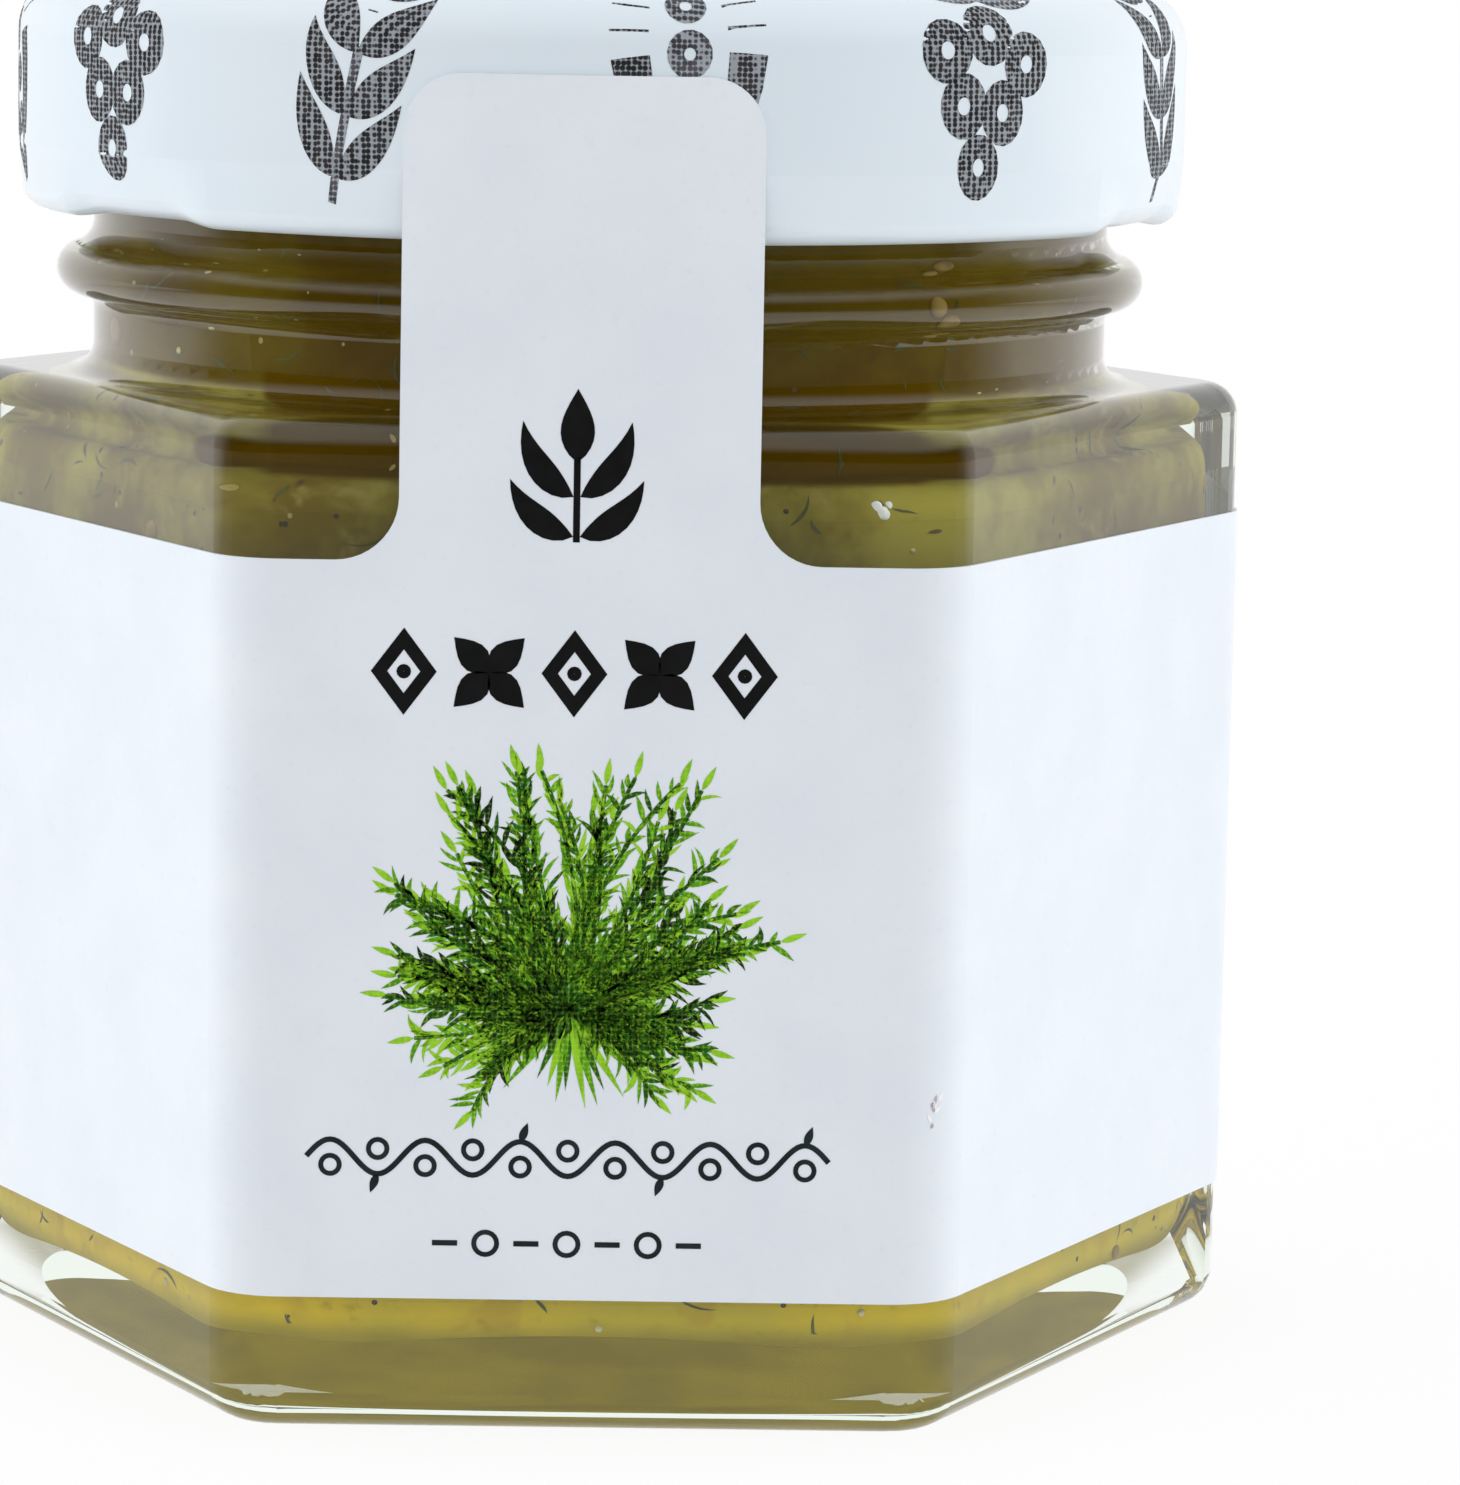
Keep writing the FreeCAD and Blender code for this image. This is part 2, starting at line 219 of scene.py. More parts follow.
def mustard_dip():
    """Mustard and herb paste, darkened in the neck by painted shade and golden at the foot by
    painted light.
    """
    finish = Finish("mustard_dip")
    cloud = finish.noise(150, 4.0, 0.6)
    streak = finish.noise(420, 3.0, 0.6, 0.6)
    grain = finish.noise(1500, 3.0, 0.6)

    def clouded(first, second):
        return finish.mix(cloud.ramp(0.36, 0.64), first, second)

    height = finish.height()
    in_neck = height.ramp(shoulder_outside - 1.2 * MM, shoulder_outside - 0.2 * MM)
    painted_light_at_foot = height.ramp(dip_low.z + 6.5 * MM, dip_low.z + 3.5 * MM)
    above_ledge = height.ramp(shoulder_inside - 0.15 * MM, shoulder_inside + 0.1 * MM)
    under_bead = height.ramp(shoulder_outside + 1.6 * MM, shoulder_outside + 0.4 * MM)
    aside = abs(finish.along(finish.place(), "X"))
    behind_face = aside.ramp(face_half - 0.1 * MM, face_half - 0.5 * MM)
    underneath = finish.facing_up().ramp(-0.2, -0.8)

    paste = clouded(colour(110, 93, 33), colour(156, 145, 64))
    paste = finish.mix(streak.ramp(0.55, 0.75) * 0.45, paste, colour(172, 156, 92))
    # Painted shade: the paste in the neck is painted darker than the paste below it.
    neck_painted_shade = clouded(colour(86, 65, 12), colour(104, 86, 22))
    paste = finish.mix(in_neck, paste, neck_painted_shade)
    # Painted shade: a dark band where the paste meets the shoulder, under the bead and behind
    # the flat faces.
    paste = finish.mix(above_ledge * under_bead * behind_face, paste, colour(92, 68, 4))
    # Painted light: near the foot the paste is painted golden and brighter.
    foot_painted_light = clouded(colour(214, 184, 40), colour(196, 176, 52))
    foot_painted_light = finish.mix(streak.ramp(0.5, 0.7) * 0.5, foot_painted_light, colour(176, 140, 44))
    paste = finish.mix(painted_light_at_foot, paste, foot_painted_light)
    paste = finish.mix(grain.ramp(0.56, 0.8) * 0.35, paste, colour(88, 74, 14))
    # Painted light: the downward-facing paste is painted brighter, as if lit from below.
    underside_painted_light = finish.mix(cloud.ramp(0.3, 0.7), colour(158, 142, 52), colour(136, 122, 48))
    paste = finish.mix(underneath, paste, underside_painted_light)
    return finish.output(finish.surface(Base_Color=paste, Roughness=0.6,
                                        Specular_IOR_Level=0.0))


def lid_lacquer():
    """White gloss lacquer with a faint orange peel."""
    finish = Finish("lid_lacquer")
    cloud = finish.noise(60, 2.0)
    white = finish.mix(cloud.ramp(0.3, 0.7), colour(229, 239, 247), colour(225, 236, 245))
    peel = finish.bump(finish.noise(350, 2.0), 0.003 * MM)
    return finish.output(finish.surface(Base_Color=white, Roughness=0.3, Coat_Weight=0.3,
                                        Normal=peel))


def label_paper():
    """Smooth uncoated paper with a faint grain of fibres."""
    finish = Finish("label_paper")
    fibre = finish.noise(2600, 4.0, 0.65)
    cloud = finish.noise(240, 3.0)
    paper = finish.mix(cloud.ramp(0.3, 0.75), colour(233, 239, 246), colour(229, 235, 243))
    paper = finish.mix(fibre.ramp(0.55, 0.8) * 0.25, paper, colour(211, 217, 226))
    return finish.output(finish.surface(Base_Color=paper, Roughness=0.6,
                                        Specular_IOR_Level=0.3,
                                        Normal=finish.bump(fibre, 0.006 * MM)))


def ink(name, tone, dark, screen=0.0, ground=(233, 239, 246)):
    """Printing ink; a screen above 0 lets the ground's tone show between its dots."""
    finish = Finish(name)
    cover = finish.noise(1400, 2.0)
    shade = finish.mix(cover.ramp(0.35, 0.7), colour(*tone), colour(*dark))
    if screen:
        gaps = finish.cells(screen_pitch, 0.25).ramp(0.42, 0.62) * screen
        shade = finish.mix(gaps, shade, colour(*ground))
    return finish.output(finish.surface(Base_Color=shade, Roughness=0.55,
                                        Specular_IOR_Level=0.2))


def plain(name, tone, dark, roughness=0.5, gloss=0.4):
    """A finish of two close tones."""
    finish = Finish(name)
    shade = finish.mix(finish.noise(900, 2.0).ramp(0.35, 0.7), colour(*tone), colour(*dark))
    return finish.output(finish.surface(Base_Color=shade, Roughness=roughness,
                                        Specular_IOR_Level=gloss))


# --- laying flat shapes on a surface ------------------------------------------

ink_depth = 0.012 * MM
well_outside = 200 * MM


def surface_of(piece):
    """A piece's mesh, ready to be met by straight lines."""
    place = piece.matrix_world
    points = [place @ vertex.co for vertex in piece.data.vertices]
    return BVHTree.FromPolygons(points, [tuple(face.vertices) for face in piece.data.polygons])


def met(tree, start, direction):
    """Where a line meets a surface; one that slips through a seam moves a hair."""
    for hair in (0, 0.02, -0.02):
        aside = Vector((hair, hair, hair)) * MM
        spot, normal = tree.ray_cast(start + aside, direction)[:2]
        if spot:
            return spot, normal
    raise ValueError("no surface here")


class FrontSheet:
    """The front of a piece: millimetres across and millimetres up."""

    def __init__(self, piece, lift):
        self.tree = surface_of(piece)
        self.lift = lift

    def point(self, across, up):
        start = Vector((across * MM, -well_outside, up * MM))
        spot, normal = met(self.tree, start, Vector((0, 1, 0)))
        return spot + normal * self.lift


class RoundSheet:
    """An upright surface round the axis: millimetres round and up.

    Millimetres round are measured at the surface's own reach, from -Y
    towards +X.
    """

    def __init__(self, piece, reach, lowest, highest, lift):
        self.tree = surface_of(piece)
        self.reach = reach
        self.lowest = lowest
        self.highest = highest
        self.lift = lift

    def any_place_round(self, luck):
        half_way = math.pi * self.reach / MM
        return luck.uniform(-half_way, half_way)

    def point(self, around, up):
        turn = around * MM / self.reach
        out = Vector((math.sin(turn), -math.cos(turn), 0))
        height = min(max(up * MM, self.lowest), self.highest)
        start = out * well_outside + Vector((0, 0, height))
        spot, normal = met(self.tree, start, -out)
        return spot + normal * self.lift


class PressedSheet:
    """The lid as a flat disc that is pressed down over its edge.

    A place is given as on the flat disc: millimetres to the right and
    towards the front of its middle.
    """

    edge_share = 0.2
    bare_hem = 1.5 * MM
    steps = 40

    def __init__(self, piece, low, high, lift):
        self.tree = surface_of(piece)
        self.lift = lift
        self.rays = self.lines_inwards(low, high)
        self.path = [0.0]
        spots = [met(self.tree, *ray)[0] for ray in self.rays]
        for spot, next_spot in zip(spots, spots[1:]):
            self.path.append(self.path[-1] + (next_spot - spot).length)

    def lines_inwards(self, low, high):
        """Lines onto the top, round the edge and onto the skirt, towards +X."""
        hub = Vector((high.x * (1 - self.edge_share), 0, high.z - high.x * self.edge_share))
        down, inwards = Vector((0, 0, -1)), Vector((-1, 0, 0))
        lines = [(Vector((0.01 * MM, 0, well_outside)), down)]
        for k in range(1, self.steps):
            lines.append((Vector((hub.x * k / self.steps, 0, well_outside)), down))
        for k in range(self.steps + 1):
            turn = math.radians(90 * (1 - k / self.steps))
            out = Vector((math.cos(turn), 0, math.sin(turn)))
            lines.append((hub + out * well_outside, -out))
        skirt = hub.z - (low.z + self.bare_hem)
        for k in range(1, self.steps):
            start = hub + Vector((well_outside, 0, -skirt * k / self.steps))
            lines.append((start, inwards))
        return lines

    def point(self, right, front):
        """Follow the disc's radius over the edge by the same distance."""
        reach = math.hypot(right, front) * MM
        k = 1
        while k < len(self.path) - 1 and self.path[k] < reach:
            k += 1
        share = (reach - self.path[k - 1]) / (self.path[k] - self.path[k - 1])
        start = self.rays[k - 1][0].lerp(self.rays[k][0], share)
        direction = self.rays[k - 1][1].lerp(self.rays[k][1], share).normalized()
        turn = Matrix.Rotation(math.atan2(-front, right), 3, "Z")
        spot, normal = met(self.tree, turn @ start, turn @ direction)
        return spot + normal * self.lift


def line(start, end, steps):
    """Points along a straight line."""
    return [(start[0] + (end[0] - start[0]) * k / steps,
             start[1] + (end[1] - start[1]) * k / steps) for k in range(steps + 1)]


def curve(foot, turn, bend, length, steps):
    """Points along a spine that leans, in degrees from upright towards the right."""
    spine = []
    for step in range(steps + 1):
        share = step / steps
        lean = math.radians(turn + bend * share)
        spine.append((foot[0] + math.sin(lean) * length * share,
                      foot[1] + math.cos(lean) * length * share))
    return spine


class Layer:
    """Flat shapes laid on a sheet, joined as one piece with a few finishes."""

    tip_half_width = 0.001

    def __init__(self, sheet, finishes, fineness=1):
        self.sheet = sheet
        self.finishes = finishes
        self.fineness = fineness
        self.points = []
        self.faces = []
        self.tones = []

    def ribbon(self, spine, half_width, tone=0, columns=1):
        """A band along a spine; half_width is given from 0 to 1 along it."""
        first = len(self.points)
        last = len(spine) - 1
        columns *= self.fineness
        for row, (x, y) in enumerate(spine):
            ahead, behind = spine[min(row + 1, last)], spine[max(row - 1, 0)]
            side_x, side_y = behind[1] - ahead[1], ahead[0] - behind[0]
            reach = half_width(row / last)
            for column in range(columns + 1):
                offset = reach * (1 - 2 * column / columns) / math.hypot(side_x, side_y)
                self.points.append(self.sheet.point(x + side_x * offset, y + side_y * offset))
        for row in range(last):
            for column in range(columns):
                a = first + row * (columns + 1) + column
                b = a + columns + 1
                self.faces.append((a, b, b + 1, a + 1))
                self.tones.append(tone)

    def stroke(self, spine, thickness, tone=0):
        self.ribbon(spine, lambda share: thickness / 2, tone)

    def leaf(self, foot, turn, length, width, tone=0, bend=0.0, columns=2, steps=6):
        """A pointed leaf from its foot, turned from upright towards the right."""
        def half_width(share):
            return width / 2 * math.sin(math.pi * share ** 0.8) + self.tip_half_width
        spine = curve(foot, turn, bend, length, steps * self.fineness)
        self.ribbon(spine, half_width, tone, columns)

    def band(self, loop, other_loop, tone=0):
        """A closed band between two loops of as many points."""
        first = len(self.points)
        count = len(loop)
        rings = 2 * self.fineness
        for (x, y), (other_x, other_y) in zip(loop, other_loop):
            for ring in range(rings + 1):
                share = ring / rings
                self.points.append(self.sheet.point(x + (other_x - x) * share,
                                                    y + (other_y - y) * share))
        for k in range(count):
            for ring in range(rings):
                a = first + k * (rings + 1) + ring
                b = first + (k + 1) % count * (rings + 1) + ring
                self.faces.append((a, b, b + 1, a + 1))
                self.tones.append(tone)

    def disc(self, middle, radius, tone=0, inner=0.01, steps=16):
        """A round spot, or a ring if its inner radius is wide."""
        turns = [2 * math.pi * k / steps for k in range(steps)]
        loops = [[(middle[0] + reach * math.cos(turn), middle[1] + reach * math.sin(turn))
                  for turn in turns] for reach in (inner, radius)]
        self.band(*loops, tone)

    def lozenge(self, middle, half_width, half_height, hollow, tone=0, steps=6):
        """An upright lozenge; hollow is the share that its open heart takes."""
        corners = [(0, half_height), (half_width, 0), (0, -half_height), (-half_width, 0)]
        rim = [spot for start, end in zip(corners, corners[1:] + corners[:1])
               for spot in line(start, end, steps)[:-1]]
        loops = [[(middle[0] + x * share, middle[1] + y * share) for x, y in rim]
                 for share in (1, hollow)]
        self.band(*loops, tone)

    def piece(self, name, slot):
        mesh = bpy.data.meshes.new(name)
        mesh.from_pydata(self.points, [], self.faces)
        for material in self.finishes:
            mesh.materials.append(material)
        mesh.polygons.foreach_set("material_index", self.tones)
        mesh.update()
        return ridden(name, mesh)


def ridden(name, mesh):
    """A new piece that belongs to the jar."""
    piece = bpy.data.objects.new(name, mesh)
    bpy.context.scene.collection.objects.link(piece)
    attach(piece, "root")
    return piece


# --- dip and lid --------------------------------------------------------------

# Places and heights on the dip are in millimetres, on its round sheet.
dip_reach_into_glass = 0.05 * MM
dip_fleck_lift = 0.015 * MM
fleck_count = 560
dill_below, hull_below, crumb_below = 0.36, 0.56, 0.74
bare_neck = (31.0, 41.5)
bare_foot = (3.4, 6.2)
neck_share = 0.8
grain_flatness = 0.45
ball_rings = 8
ball_steps = 12
glint_place = (10.2, 33.3)


def grown_copy(node_name, reach, name, material):
    """A copy of a solid, grown by a reach along its normals, in its place."""
    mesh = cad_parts[node_name].data.copy()
    mesh.name = name
    normals = [vertex.normal.copy() for vertex in mesh.vertices]
    for vertex, normal in zip(mesh.vertices, normals):
        vertex.co += normal * reach
    mesh.materials.clear()
    mesh.materials.append(material)
    piece = bpy.data.objects.new(name, mesh)
    bpy.context.scene.collection.objects.link(piece)
    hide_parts(node_name)
    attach(piece, "root")
    return piece


def bare_height(luck):
    """A height in millimetres on the dip where no label hides it."""
    return luck.uniform(*(bare_neck if luck.random() < neck_share else bare_foot))


def make_flecks(sheet):
    """Chopped dill, mustard hulls and pale crumbs against the glass."""
    luck = random.Random(45)
    dill, hull, crumb, dark_hull = range(4)
    layer = Layer(sheet, [plain("dill_green", (82, 84, 22), (62, 66, 16)),
                          plain("hull_brown", (98, 70, 22), (78, 54, 16)),
                          plain("crumb_pale", (176, 158, 84), (152, 134, 62)),
                          plain("hull_dark", (70, 54, 14), (54, 42, 10))])
    for _ in range(fleck_count):
        spot = (sheet.any_place_round(luck), bare_height(luck))
        turn = luck.uniform(0, 360)
        kind = luck.random()
        if kind < dill_below:
            layer.leaf(spot, turn, luck.uniform(0.5, 1.8), luck.uniform(0.07, 0.18), dill,
                       luck.uniform(-50, 50))
        elif kind < hull_below:
            layer.leaf(spot, turn, luck.uniform(0.2, 0.55), luck.uniform(0.12, 0.28), hull)
        elif kind < crumb_below:
            layer.disc(spot, luck.uniform(0.04, 0.14), crumb, steps=8)
        else:
            layer.disc(spot, luck.uniform(0.04, 0.12), dark_hull, steps=8)
    return layer.piece("dip_flecks", "dip")


class Grains:
    """Rounded grains, joined as one piece of one material."""

    def __init__(self):
        self.points = []
        self.faces = []

    def add(self, middle, radius, flatness, turn=0.0):
        """One ball, flattened across the direction that it faces."""
        out = Vector((math.sin(turn), -math.cos(turn), 0))
        side = Vector((out.y, -out.x, 0))
        up = Vector((0, 0, 1))
        first = len(self.points)
        for ring in range(ball_rings + 1):
            tilt = math.pi * ring / ball_rings
            for step in range(ball_steps):
                swing = 2 * math.pi * step / ball_steps
                self.points.append(middle + radius * (
                    out * flatness * math.cos(tilt)
                    + side * math.sin(tilt) * math.cos(swing)
                    + up * math.sin(tilt) * math.sin(swing)))
        for ring in range(ball_rings):
            for step in range(ball_steps):
                a = first + ring * ball_steps + step
                b = first + ring * ball_steps + (step + 1) % ball_steps
                self.faces.append((a, b, b + ball_steps, a + ball_steps))

    def piece(self, name, material):
        mesh = bpy.data.meshes.new(name)
        mesh.from_pydata(self.points, [], self.faces)
        mesh.polygons.foreach_set("use_smooth", [True] * len(mesh.polygons))
        mesh.materials.append(material)
        return ridden(name, mesh)


def make_grains(sheet, name, material, count, small, large, seed):
    """Whole seeds or air bubbles, half sunk in the dip along the glass."""
    luck = random.Random(seed)
    grains = Grains()
    for _ in range(count):
        around = sheet.any_place_round(luck)
        radius = luck.uniform(small, large) * MM
        middle = sheet.point(around, bare_height(luck))
        grains.add(middle, radius, grain_flatness, around * MM / sheet.reach)
    return grains.piece(name, material)


def make_glint(sheet):
    """One air bubble, pressed flat under the glass right of the tab; its near-white is a
    painted glint.
    """
    luck = random.Random(2)
    grains = Grains()
    for _ in range(5):
        spot = [centre + luck.uniform(-0.25, 0.25) for centre in glint_place]
        grains.add(sheet.point(*spot), luck.uniform(0.14, 0.26) * MM, 0.3)
    return grains.piece("glint_bubble", plain("glint_white", (252, 252, 250),
                                              (244, 244, 240), 0.1, 1.0))


# --- print on the label -------------------------------------------------------
# Places and sizes are millimetres across and up on the label's front.

print_middle = -0.6
sprig_foot, sprig_top = 32.3, 37.7
lozenge_height, lozenge_pitch = 27.65, 3.0
vine_height, vine_width, vine_bends = 10.2, 18.6, 11
rule_height, rule_pitch = 7.1, 1.45
herb_tie = (print_middle, 15.6)
herb_stalks = 57
herb_stems = 13
herb_spread = 130
herb_steps = 20
black, slate = 0, 1


def make_black_print(sheet):
    """A sprig on the tab, a row of lozenges, a vine border and a rule."""
    layer = Layer(sheet, [ink("black_ink", (5, 6, 8), (12, 13, 16)),
                          ink("slate_ink", (16, 32, 34), (28, 44, 46))])
    add_sprig(layer)
    add_lozenge_row(layer)
    add_vine(layer)
    add_rule(layer)
    return layer.piece("label_black_print", "label")


def add_sprig(layer):
    """A stem with one upright leaf and two pairs of side leaves."""
    tip_leaf = 2.6
    stem_top = sprig_top - tip_leaf + 0.2
    layer.stroke(line((print_middle, sprig_foot), (print_middle, stem_top), 8), 0.24)
    layer.leaf((print_middle, sprig_top - tip_leaf), 0, tip_leaf, 1.2, steps=10)
    for height, turn, length in ((33.9, 64, 3.2), (32.5, 78, 3.0)):
        for side in (-1, 1):
            layer.leaf((print_middle + side * 0.12, height), side * turn, length, 0.95,
                       bend=-side * 30, steps=10)


def add_lozenge_row(layer):
    """Five bold ornaments: lozenges with open hearts between four-leaf florets."""
    for place in range(5):
        middle = (print_middle + (place - 2) * lozenge_pitch, lozenge_height)
        if place % 2:
            for turn in (45, 135, 225, 315):
                layer.leaf(middle, turn, 1.75, 1.05, columns=4)
        else:
            layer.lozenge(middle, 1.16, 1.55, 0.5)
            layer.disc(middle, 0.26, steps=12)


def add_vine(layer):
    """A thin waving stem with a ring in each bend and a leaf on every third."""
    steps = vine_bends * 12
    left = print_middle - vine_width / 2
    layer.stroke([(left + vine_width * k / steps,
                   vine_height + 0.62 * math.sin(math.pi * vine_bends * k / steps))
                  for k in range(steps + 1)], 0.2, slate)
    for bend in range(vine_bends):
        x = left + vine_width * (bend + 0.5) / vine_bends
        side = -1 if bend % 2 == 0 else 1
        layer.disc((x, vine_height + side * 0.3), 0.42, slate, inner=0.24, steps=20)
        if bend % 3 == 1:
            turn = -160 if side > 0 else 20
            layer.leaf((x, vine_height - side * 0.6), turn, 0.75, 0.3, slate)


def add_rule(layer):
    """A short broken rule with rings."""
    dash_half = 0.45
    for place in range(7):
        x = print_middle + (place - 3) * rule_pitch
        if place % 2:
            layer.disc((x, rule_height), 0.5, slate, inner=0.32, steps=20)
        else:
            layer.stroke(line((x - dash_half, rule_height), (x + dash_half, rule_height), 3),
                         0.2, slate)


def make_herb_print(sheet):
    """A tied bunch of feathery herb stalks in screened greens."""
    luck = random.Random(7)
    lime = (176, 222, 60)
    layer = Layer(sheet, [ink("herb_ink_deep", (10, 48, 4), (6, 32, 4), 0.2, lime),
                          ink("herb_ink_mid", (36, 104, 8), (26, 80, 6), 0.3, lime),
                          ink("herb_ink_light", (96, 168, 14), (74, 142, 10), 0.5, lime),
                          ink("herb_ink_lime", (150, 210, 40), (124, 188, 24), 0.5, lime)])
    order = list(range(herb_stalks))
    luck.shuffle(order)
    for stalk in order:
        lean = -herb_spread + 2 * herb_spread * stalk / (herb_stalks - 1)
        lean += luck.uniform(-5, 5)
        length = 10.4 - 5.4 * abs(lean / herb_spread) ** 0.9 + luck.uniform(-2.6, 0.4)
        bend = luck.uniform(-26, 26)
        tone = luck.choice((0, 1, 2, 2, 3))
        add_herb_stalk(layer, luck, lean, bend, length, tone)
    for stem in range(herb_stems):
        lean = 180 + (stem - herb_stems // 2) * 9 + luck.uniform(-4, 4)
        layer.leaf(herb_tie, lean, luck.uniform(2.6, 3.7), 0.3, 1 + stem % 3, steps=5)
    thread = [(herb_tie[0] - 0.8 + 1.6 * k / 6, herb_tie[1] - 0.1 + 0.14 * math.sin(k))
              for k in range(7)]
    layer.stroke(thread, 0.3, 0)
    return layer.piece("label_herb_print", "label")


def add_herb_stalk(layer, luck, lean, bend, length, tone):
    """A thin stalk with pairs of needle leaves; tone runs from 0, dark, to 3, light."""
    spine = curve(herb_tie, lean, bend, length, herb_steps)
    layer.stroke(spine, 0.14, 1)
    for step in range(2, herb_steps):
        share = step / herb_steps
        for side in (-1, 1):
            turn = lean + bend * share + side * luck.uniform(18, 48)
            size = luck.uniform(0.7, 1.5) * (1.1 - 0.4 * share)
            leaf_tone = min(3, max(0, tone + luck.choice((-1, 0, 0, 1))))
            layer.leaf(spine[step], turn, size, luck.uniform(0.13, 0.22), leaf_tone,
                       luck.uniform(-30, 30), steps=5)
    layer.leaf(spine[-1], lean + bend, 1.0, 0.24, 3, steps=5)


def make_nick(sheet):
    """A small nick on the label's right-hand corner."""
    luck = random.Random(11)
    layer = Layer(sheet, [plain("bared_paper", (250, 250, 250), (236, 236, 240), 0.8, 0.1),
                          plain("nick_shade", (186, 184, 190), (170, 168, 176), 0.8, 0.1)])
    for k in range(9):
        foot = (luck.uniform(12.3, 12.6), luck.uniform(11.4, 12.4))
        layer.leaf(foot, luck.uniform(-30, 50), luck.uniform(0.2, 0.55), 0.12, k % 2, steps=4)
    return layer.piece("label_nick", "label")


# --- print on the lid ---------------------------------------------------------
# Places and sizes are millimetres on the lid's flat disc.

outer_motifs, outer_reach, outer_size = 12, 23.6, 1.6
inner_motifs, inner_reach = 6, 11.2
dark, grey = 0, 1


class MotifPlace:
    """A motif's own measures, grown, turned and moved to its place on the disc."""

    def __init__(self, round_angle, reach, tilt, size=1.0):
        around = math.radians(round_angle)
        self.size = size
        self.middle = (math.sin(around) * reach, math.cos(around) * reach)
        self.turn = round_angle + 180 + tilt

    def __call__(self, x, y):
        turn = math.radians(self.turn)
        along, across = math.cos(turn) * self.size, math.sin(turn) * self.size
        return (self.middle[0] + x * along + y * across,
                self.middle[1] - x * across + y * along)

    def line(self, start, end, steps):
        return [self(*spot) for spot in line(start, end, steps)]


def twig(layer, place):
    """A twig with paired leaves."""
    size = place.size
    layer.stroke(place.line((0, -3.7), (0, 3.3), 8), 0.26 * size, grey)
    for k in range(5):
        for side in (-1, 1):
            layer.leaf(place(0, -3.1 + k * 1.4), place.turn + side * 55,
                       (2.5 - 0.15 * k) * size, 0.86 * size, dark, -side * 20)
    layer.leaf(place(0, 2.9), place.turn, 2.0 * size, 0.9 * size, dark)


def pod(layer, place):
    """An open pod with a row of peas."""
    size = place.size

    def half_width(share):
        return (0.16 + 0.3 * math.sin(math.pi * share)) * size

    for side in (-1, 1):
        rim = [place(side * 1.4 * math.sin(math.pi * k / 12), -3.8 + 7.6 * k / 12)
               for k in range(13)]
        layer.ribbon(rim, half_width, dark, 2)
    for k in range(5):
        layer.disc(place(0, -2.3 + 1.15 * k), (0.54 - 0.07 * abs(k - 2)) * size, grey,
                   inner=0.14 * size)
    layer.stroke(place.line((0, 3.8), (0.4, 4.8), 4), 0.28 * size, grey)


def berries(layer, place):
    """A cluster of berries under two broad leaves."""
    size = place.size
    spots = ((-1.25, 0.2), (1.25, 0.2), (0, 0.7), (-0.66, -1.0), (0.66, -1.0), (0, -2.3))
    for spot in spots:
        layer.disc(place(*spot), 0.74 * size, dark, inner=0.2 * size)
    for side in (-1, 1):
        layer.leaf(place(0, 1.6), place.turn + side * 62, 3.1 * size, 1.5 * size, grey,
                   -side * 20)
    layer.stroke(place.line((0, 1.3), (0, 3.2), 4), 0.28 * size, grey)


def make_lid_print(sheet):
    """Dark herb and vegetable figures round the lid, over its edge."""
    lacquer = (226, 236, 244)
    layer = Layer(sheet, [ink("lid_ink_dark", (34, 32, 36), (56, 54, 58), 0.4, lacquer),
                          ink("lid_ink_grey", (58, 58, 64), (86, 86, 92), 0.4, lacquer)],
                  fineness=3)
    luck = random.Random(3)
    for k in range(outer_motifs):
        place = MotifPlace(k * 360 / outer_motifs - 22, outer_reach + (k % 3) * 0.3,
                           luck.uniform(-28, 28), outer_size)
        (twig, pod, berries)[k % 3](layer, place)
    for k in range(inner_motifs):
        place = MotifPlace(k * 360 / inner_motifs + 10, inner_reach, luck.uniform(-60, 60))
        (berries, twig, pod)[k % 3](layer, place)
    twig(layer, MotifPlace(0, 0.5, 40))
    return layer.piece("lid_print", "lid")


# --- stage --------------------------------------------------------------------

# The camera turns and tilts in degrees; its lens and sensor are in millimetres.
camera_distance = 225.76 * MM
camera_side = 1.25 * MM
camera_height = 55.4 * MM
camera_tilt = 8.40
camera_turn = 1.03
camera_roll = 1.03
sensor_width = 36.0
lens_length = 144.15

floor_reach = 2.0
floor_front = 0.6
floor_lights_from = jar_low.y - 45 * MM
shadow_share = 0.1

# How strongly the tent lights the jar, and what its sides, front and back change.
tent_level = 1.06
side_gain = 0.7
front_loss = 0.52
back_loss = 0.5


def add_camera():
    data = bpy.data.cameras.new("camera")
    data.sensor_fit = "HORIZONTAL"
    data.sensor_width = sensor_width
    data.lens = lens_length
    data.clip_start = 0.01
    camera = bpy.data.objects.new("camera", data)
    turn = Euler((math.radians(90 - camera_tilt), 0, math.radians(-camera_turn))).to_matrix()
    roll = Matrix.Rotation(math.radians(camera_roll), 3, "Z")
    camera.matrix_world = (turn @ roll).to_4x4()
    camera.location = (camera_side, -camera_distance, camera_height)
    bpy.context.scene.collection.objects.link(camera)
    bpy.context.scene.camera = camera


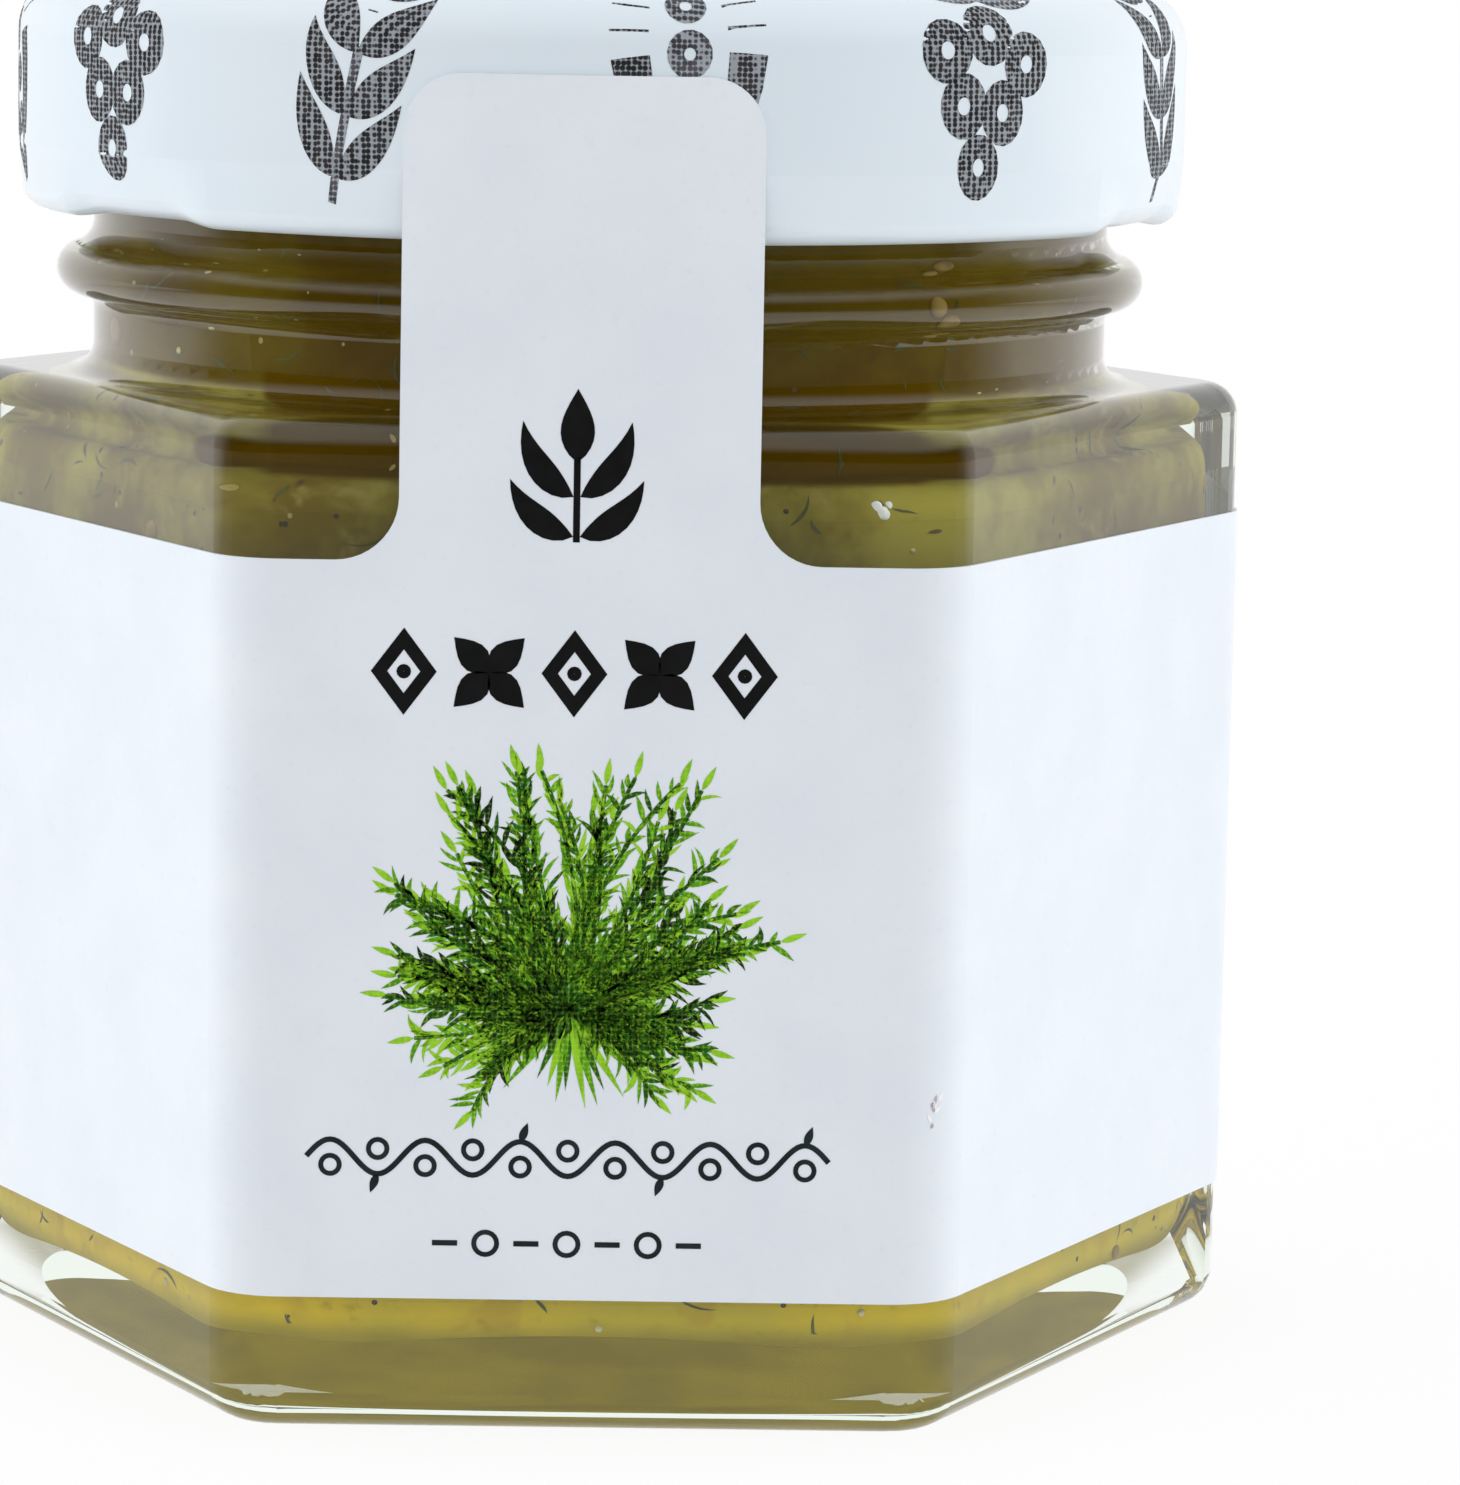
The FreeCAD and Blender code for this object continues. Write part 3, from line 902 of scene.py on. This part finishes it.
def floor_white():
    """A white table that the camera sees as white, with a faint shadow.

    The glass mirrors it bright near the jar and behind it, and dim in
    front. Seen through the glass under the jar, it is tinted like the dip:
    a painted shadow and painted reflection of the dip.
    Further forward than floor_lights_from it is seen but lights nothing.
    """
    finish = Finish("floor_white")
    cloud = finish.noise(8, 2.0)
    tone = finish.mix(cloud, colour(250, 250, 250), colour(247, 247, 248))
    matt = finish.surface(Base_Color=tone, Roughness=0.7, Specular_IOR_Level=0.0)
    place = finish.place()
    back = finish.along(place, "Y")
    aside = abs(finish.along(place, "X"))
    reach = finish.value("ShaderNodeVectorMath", {"operation": "LENGTH"}, {0: place}, "Value")

    near = reach.ramp(400 * MM, 100 * MM) * 0.89 + 0.11
    mirrored = back.ramp(-60 * MM, 160 * MM).larger(near)
    through = finish.ray_is("Transmission")
    level = 1 - finish.ray_is("Glossy") * (1 - mirrored) * (1 - through)
    beside = reach.ramp(jar_high.x * 0.8, jar_high.x * 0.95)
    beside = beside.larger(aside.ramp(12 * MM, 17 * MM))
    # Painted shadow and painted reflection of the dip: under the jar, the floor glows olive for
    # rays through the glass.
    tint = finish.mix(through * (1 - beside), (1, 1, 1, 1), colour(136, 126, 66))
    glow = finish.node("ShaderNodeEmission", None, {"Color": tint, "Strength": level})

    ahead = back.ramp(floor_lights_from + 1 * MM, floor_lights_from)
    unlit = ahead.larger(finish.ray_is("Diffuse") * 0.6)
    lit = finish.mix_shader(unlit, matt, finish.open_air())
    seen = finish.ray_is("Camera", "Glossy", "Transmission")
    return finish.output(finish.mix_shader(seen * (1 - shadow_share), lit, glow.outputs[0]))


def add_floor():
    """A table top that ends behind the camera."""
    mesh = bpy.data.meshes.new("floor")
    corners = [(-floor_reach, -floor_front, 0), (floor_reach, -floor_front, 0),
               (floor_reach, floor_reach, 0), (-floor_reach, floor_reach, 0)]
    mesh.from_pydata(corners, [], [(0, 1, 2, 3)])
    mesh.materials.append(floor_white())
    floor = bpy.data.objects.new("floor", mesh)
    bpy.context.scene.collection.objects.link(floor)


def add_world():
    """A white tent, open to a dim room on the side that the camera stands on."""
    world = bpy.data.worlds.new("tent")
    bpy.context.scene.world = world
    finish = Finish("tent", world)
    direction = finish.node("ShaderNodeTexCoord").outputs["Generated"]
    aside = abs(finish.along(direction, "X"))
    away = finish.along(direction, "Y")
    overhead = finish.along(direction, "Z").ramp(0.3, 0.75)

    light = tent_level + aside.ramp(0.25, 0.8) * side_gain
    light = light - away.ramp(0.3, -0.8) * front_loss - away.ramp(0.25, 0.75) * back_loss
    mirrored = away.ramp(-0.2, 0.75).larger(overhead * 0.8)
    through = away.ramp(-0.95, -0.3) * 0.8 + 0.2
    level = light.towards(mirrored, finish.ray_is("Glossy"))
    level = level.towards(through, finish.ray_is("Transmission"))
    level = level.towards(1, finish.ray_is("Camera"))
    background = finish.node("ShaderNodeBackground", None,
                             {"Color": (1, 1, 1, 1), "Strength": level})
    finish.node("ShaderNodeOutputWorld", None, {"Surface": background.outputs[0]})


def set_finish(node_name, material):
    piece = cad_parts[node_name]
    piece.data.materials.clear()
    piece.data.materials.append(material)


# --- the whole ----------------------------------------------------------------

bpy.context.scene.view_settings.view_transform = "Standard"
set_finish("jar", clear_glass())
set_finish("label", label_paper())

dip_body = grown_copy("dip", dip_reach_into_glass, "dip_body", mustard_dip())
dip_sheet = RoundSheet(dip_body, dip_high.x * 0.9, dip_low.z + 0.6 * MM,
                       dip_high.z - 1 * MM, dip_fleck_lift)
make_flecks(dip_sheet)
make_grains(dip_sheet, "mustard_seeds", plain("seed_tan", (150, 122, 46), (112, 86, 30)),
            18, 0.35, 0.6, 5)
# Painted sheen: the air bubbles are painted pale for the light that they reflect.
make_grains(dip_sheet, "air_bubbles", plain("bubble_painted_sheen", (200, 192, 140),
                                            (176, 166, 110), 0.15, 1.0), 30, 0.06, 0.18, 8)
make_glint(FrontSheet(dip_body, 0.0))

lid_body = grown_copy("lid", -ink_depth, "lid_body", lid_lacquer())
make_lid_print(PressedSheet(lid_body, lid_low, lid_high, ink_depth * 0.9))

label_sheet = FrontSheet(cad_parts["label"], ink_depth)
make_black_print(label_sheet)
make_herb_print(label_sheet)
make_nick(label_sheet)

add_camera()
add_floor()
add_world()
